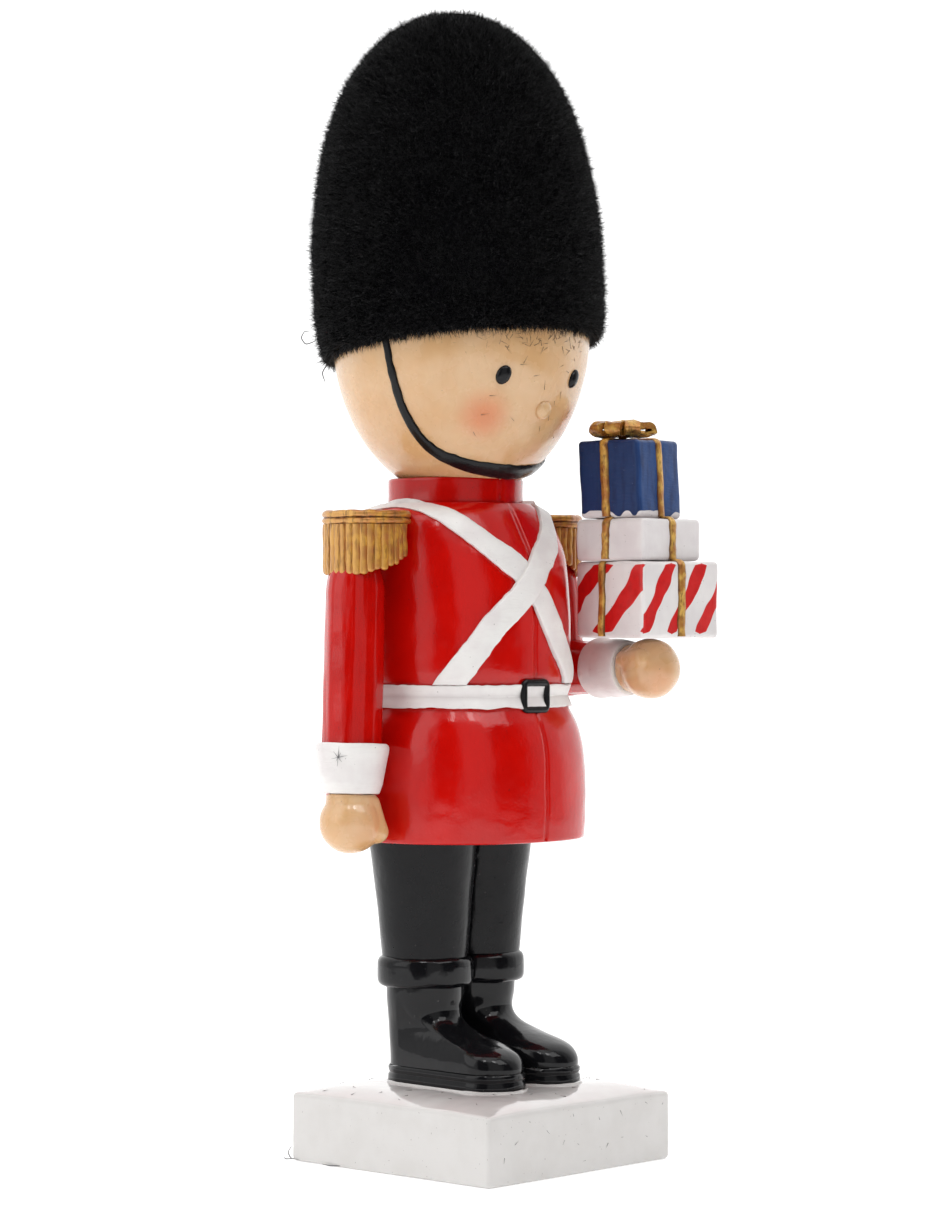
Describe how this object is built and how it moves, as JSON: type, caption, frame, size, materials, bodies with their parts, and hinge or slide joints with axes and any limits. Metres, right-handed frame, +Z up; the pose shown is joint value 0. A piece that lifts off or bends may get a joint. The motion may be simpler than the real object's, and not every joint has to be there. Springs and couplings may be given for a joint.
{
  "type": "toy soldier figure",
  "caption": "Standing toy soldier ornament on a square block, in a tall fur hat and belted tunic, with a stack of ribboned parcels on its bent left hand.",
  "frame": {"origin": "middle of the base block's flat underside", "axes": "+Z up, the figure faces -Y, its own right hand is towards -X"},
  "size_m": [0.0745, 0.0701, 0.2303],
  "materials": {
    "base_white": "brushed off-white paint on cast resin",
    "boot_black": "gloss black paint on cast resin",
    "tunic_red": "gloss red paint on cast resin",
    "belt_white": "satin white paint, brushed by hand",
    "detail_black": "gloss black paint",
    "skin": "satin skin-coloured paint on cast resin",
    "gold": "antique gold paint, brown in the grooves",
    "parcel_white": "satin white paint, brushed by hand",
    "parcel_blue": "satin blue paint, brushed by hand",
    "hat_core": "black cast resin under the flock",
    "hat_fur": "short black flock fur"
  },
  "bodies": {
    "root": {"base_block": "base_white", "boot_sole_right": "boot_black", "boot_sole_left": "boot_black", "boot_right": "boot_black", "boot_left": "boot_black", "boot_cuff_right": "boot_black", "boot_cuff_left": "boot_black", "trouser_leg_right": "boot_black", "trouser_leg_left": "boot_black", "tunic": "tunic_red", "collar": "tunic_red", "waist_belt": "belt_white", "belt_buckle": "detail_black", "crossbelt_under": "belt_white", "crossbelt_over": "belt_white", "epaulette_rim_right": "gold", "epaulette_rim_left": "gold", "epaulette_fringe_right": "gold", "epaulette_fringe_left": "gold", "sleeve_right": "tunic_red", "sleeve_left": "tunic_red", "cuff_right": "belt_white", "cuff_left": "belt_white", "hand_right": "skin", "hand_left": "skin", "head": "skin", "nose": "skin", "eye_right": "detail_black", "eye_left": "detail_black", "chin_strap": "detail_black", "hat_core": "hat_core", "hat_fur": "hat_fur", "parcel_striped": "parcel_white", "parcel_white": "parcel_white", "parcel_blue": "parcel_blue", "ribbon_striped": "gold", "ribbon_white": "gold", "ribbon_blue": "gold", "bow_loops": "gold", "bow_knot": "gold"}
  },
  "joints": []
}
